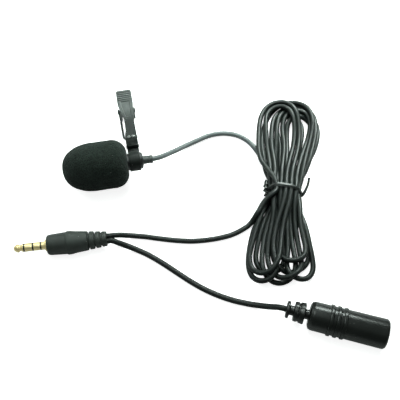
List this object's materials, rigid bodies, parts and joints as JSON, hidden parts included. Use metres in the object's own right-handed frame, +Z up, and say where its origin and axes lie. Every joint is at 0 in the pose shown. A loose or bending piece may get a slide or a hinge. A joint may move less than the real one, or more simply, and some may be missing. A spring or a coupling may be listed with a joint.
{
  "type": "lavalier microphone",
  "caption": "Clip-on lavalier microphone with foam windscreen, alligator clip, tied cord, phone plug and headphone socket on a split cord.",
  "frame": {"origin": "on the table under the middle of the microphone with its windscreen and clip, cord left out", "axes": "+X along the microphone from windscreen to cord, +Y along the clip to its thumb end, +Z up from the table"},
  "size_m": [0.1463, 0.135, 0.0214],
  "materials": {
    "black_anodised": "satin black",
    "black_enamel": "semi-gloss black",
    "foam": "open-cell foam, matte",
    "felt": "felt",
    "capsule_can": "bright",
    "boot_rubber": "matte",
    "board": "satin",
    "wire_red": "satin",
    "wire_white": "satin",
    "steel": "bright",
    "spring_steel": "bright",
    "grip_rubber": "matte",
    "cord_jacket": "soft satin",
    "tie_film": "glossy",
    "gold_plate": "polished",
    "insulator": "satin",
    "moulding": "satin",
    "socket_gloss": "glossy"
  },
  "bodies": {
    "microphone": {"mic_barrel": "black_anodised", "front_grille": "black_anodised", "dust_felt": "felt", "electret_capsule": "capsule_can", "capsule_boot": "boot_rubber", "capsule_board": "board", "signal_wire": "wire_red", "ground_wire": "wire_white", "cord_crimp": "steel", "rear_cap": "black_anodised", "cord_collar": "moulding", "mic_cord": "cord_jacket", "cord_hank": "cord_jacket", "twist_tie": "tie_film", "tie_tail": "tie_film", "plug_cord": "cord_jacket", "split_cord": "cord_jacket", "plug_tip": "gold_plate", "plug_ring_front": "gold_plate", "plug_ring_rear": "gold_plate", "plug_sleeve": "gold_plate", "plug_insulation": "insulator", "plug_grip": "moulding", "socket_shell": "socket_gloss", "socket_bushing": "gold_plate", "socket_insert": "insulator", "socket_tip_contact": "gold_plate", "socket_ring_contact": "gold_plate", "socket_mic_contact": "gold_plate"},
    "windscreen": {"foam_windscreen": "foam"},
    "clip": {"clip_frame": "black_enamel", "holder_ring": "black_enamel", "holder_rivet": "steel", "back_jaw_grip": "grip_rubber", "pivot_pin": "steel", "torsion_spring": "spring_steel"},
    "lever": {"thumb_lever": "black_enamel", "front_jaw_grip": "grip_rubber", "left_jaw_rivet": "steel", "right_jaw_rivet": "steel"}
  },
  "joints": [
    {"name": "windscreen_pull", "type": "slide", "parent": "microphone", "child": "windscreen", "axis": [-1, 0, 0], "range_m": [0, 0.021]},
    {"name": "clip_turn", "type": "hinge", "parent": "microphone", "child": "clip", "pos_m": [0.0118, -0.0136, 0.0107], "axis": [1, 0, 0], "range_deg": [0, 175]},
    {"name": "lever_squeeze", "type": "hinge", "parent": "clip", "child": "lever", "pos_m": [0.01089, 0.01657, 0.00716], "axis": [-0.9993, -0.0381, 0.0045], "range_deg": [0, 22], "stiffness_Nm_per_rad": 0.05, "springref_deg": -22.92, "deforming": ["torsion_spring"]}
  ]
}
